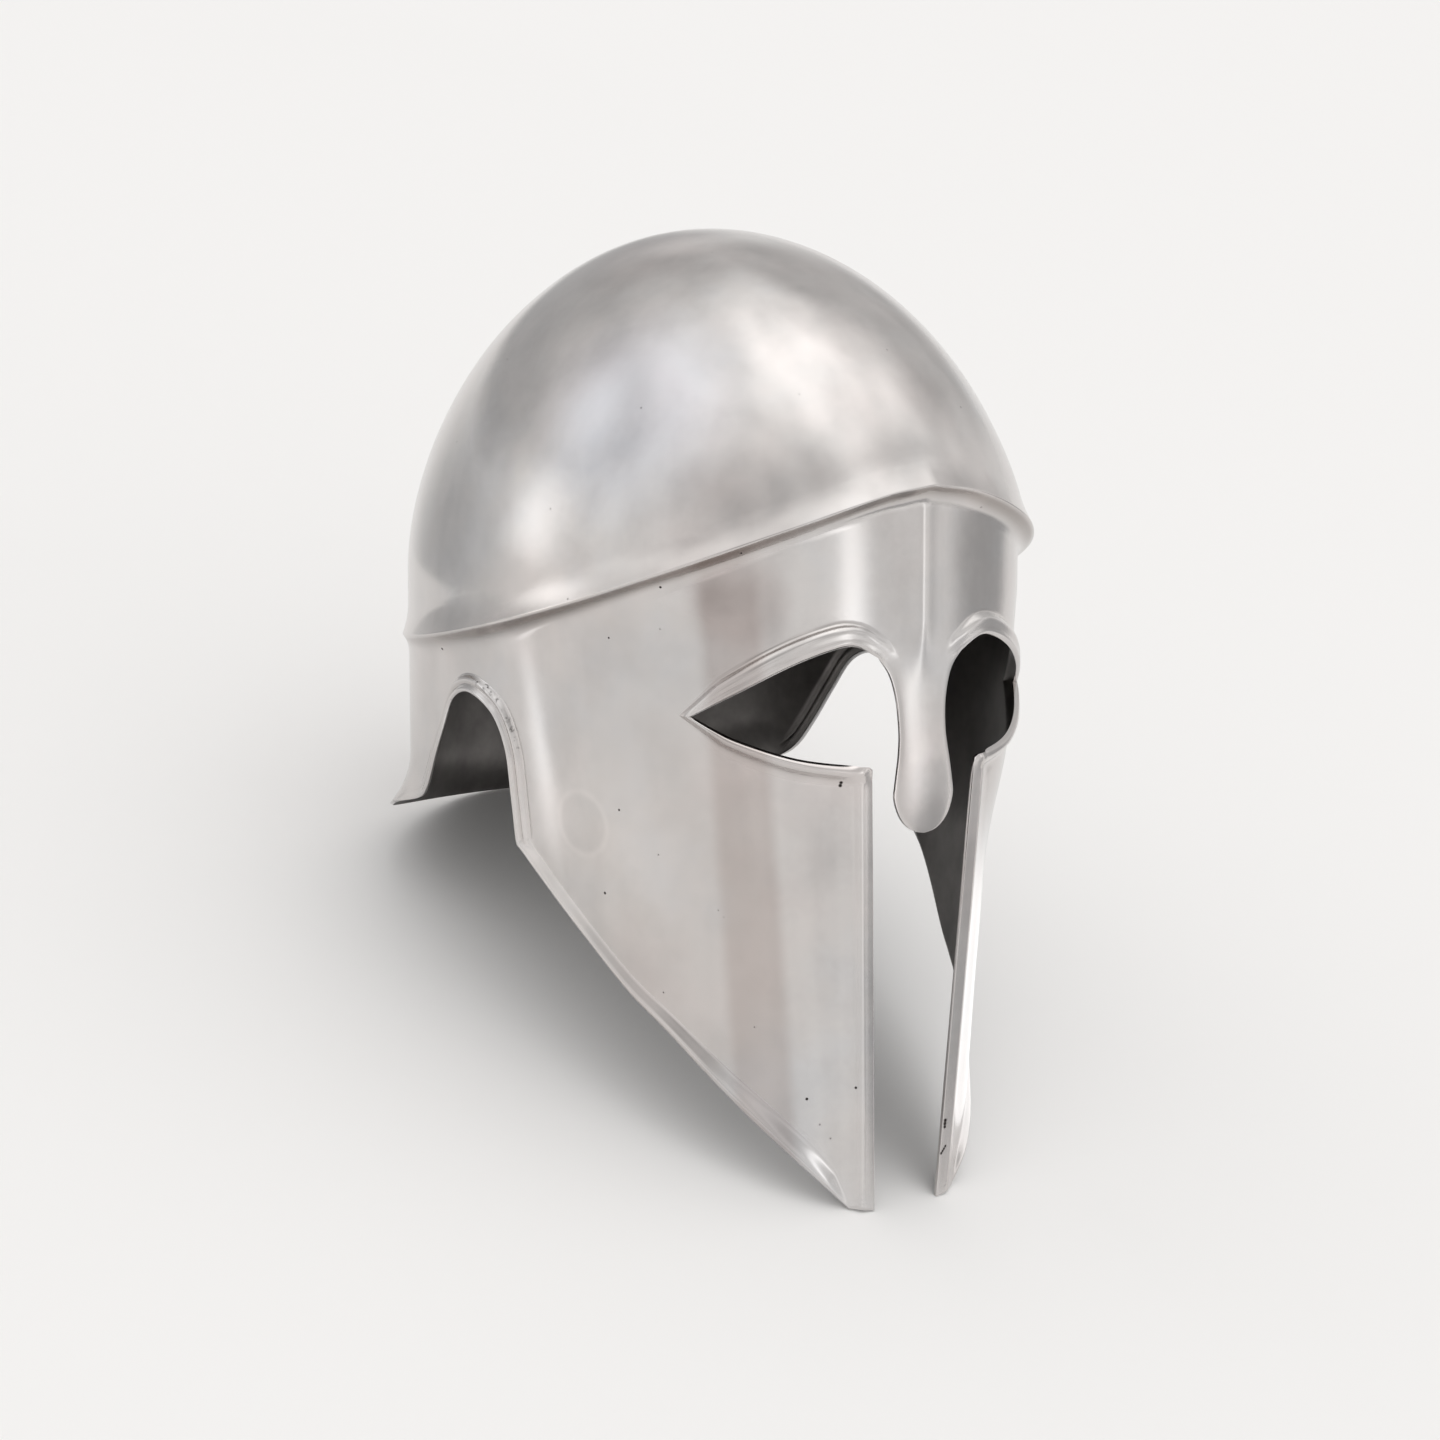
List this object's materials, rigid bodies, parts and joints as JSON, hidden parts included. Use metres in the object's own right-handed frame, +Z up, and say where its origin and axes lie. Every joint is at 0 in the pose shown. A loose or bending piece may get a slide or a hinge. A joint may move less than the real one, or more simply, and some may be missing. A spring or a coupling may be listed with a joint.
{
  "type": "greek helmet",
  "caption": "Hollow one-piece greek helmet of polished sheet steel, with a ridged crown, almond eye openings, a nasal, long cheek pieces and a flared neck guard",
  "frame": {"origin": "middle of the bounding box at floor level", "axes": "+Z is up, the face looks along -Y and is laid back, and +X is the wearer's left"},
  "size_m": [0.194, 0.298, 0.2523],
  "materials": {
    "polished_steel": "polished mild steel with a faint haze, tarnish specks and a few stains"
  },
  "bodies": {
    "root": {"helmet_shell": "polished_steel"}
  },
  "joints": []
}
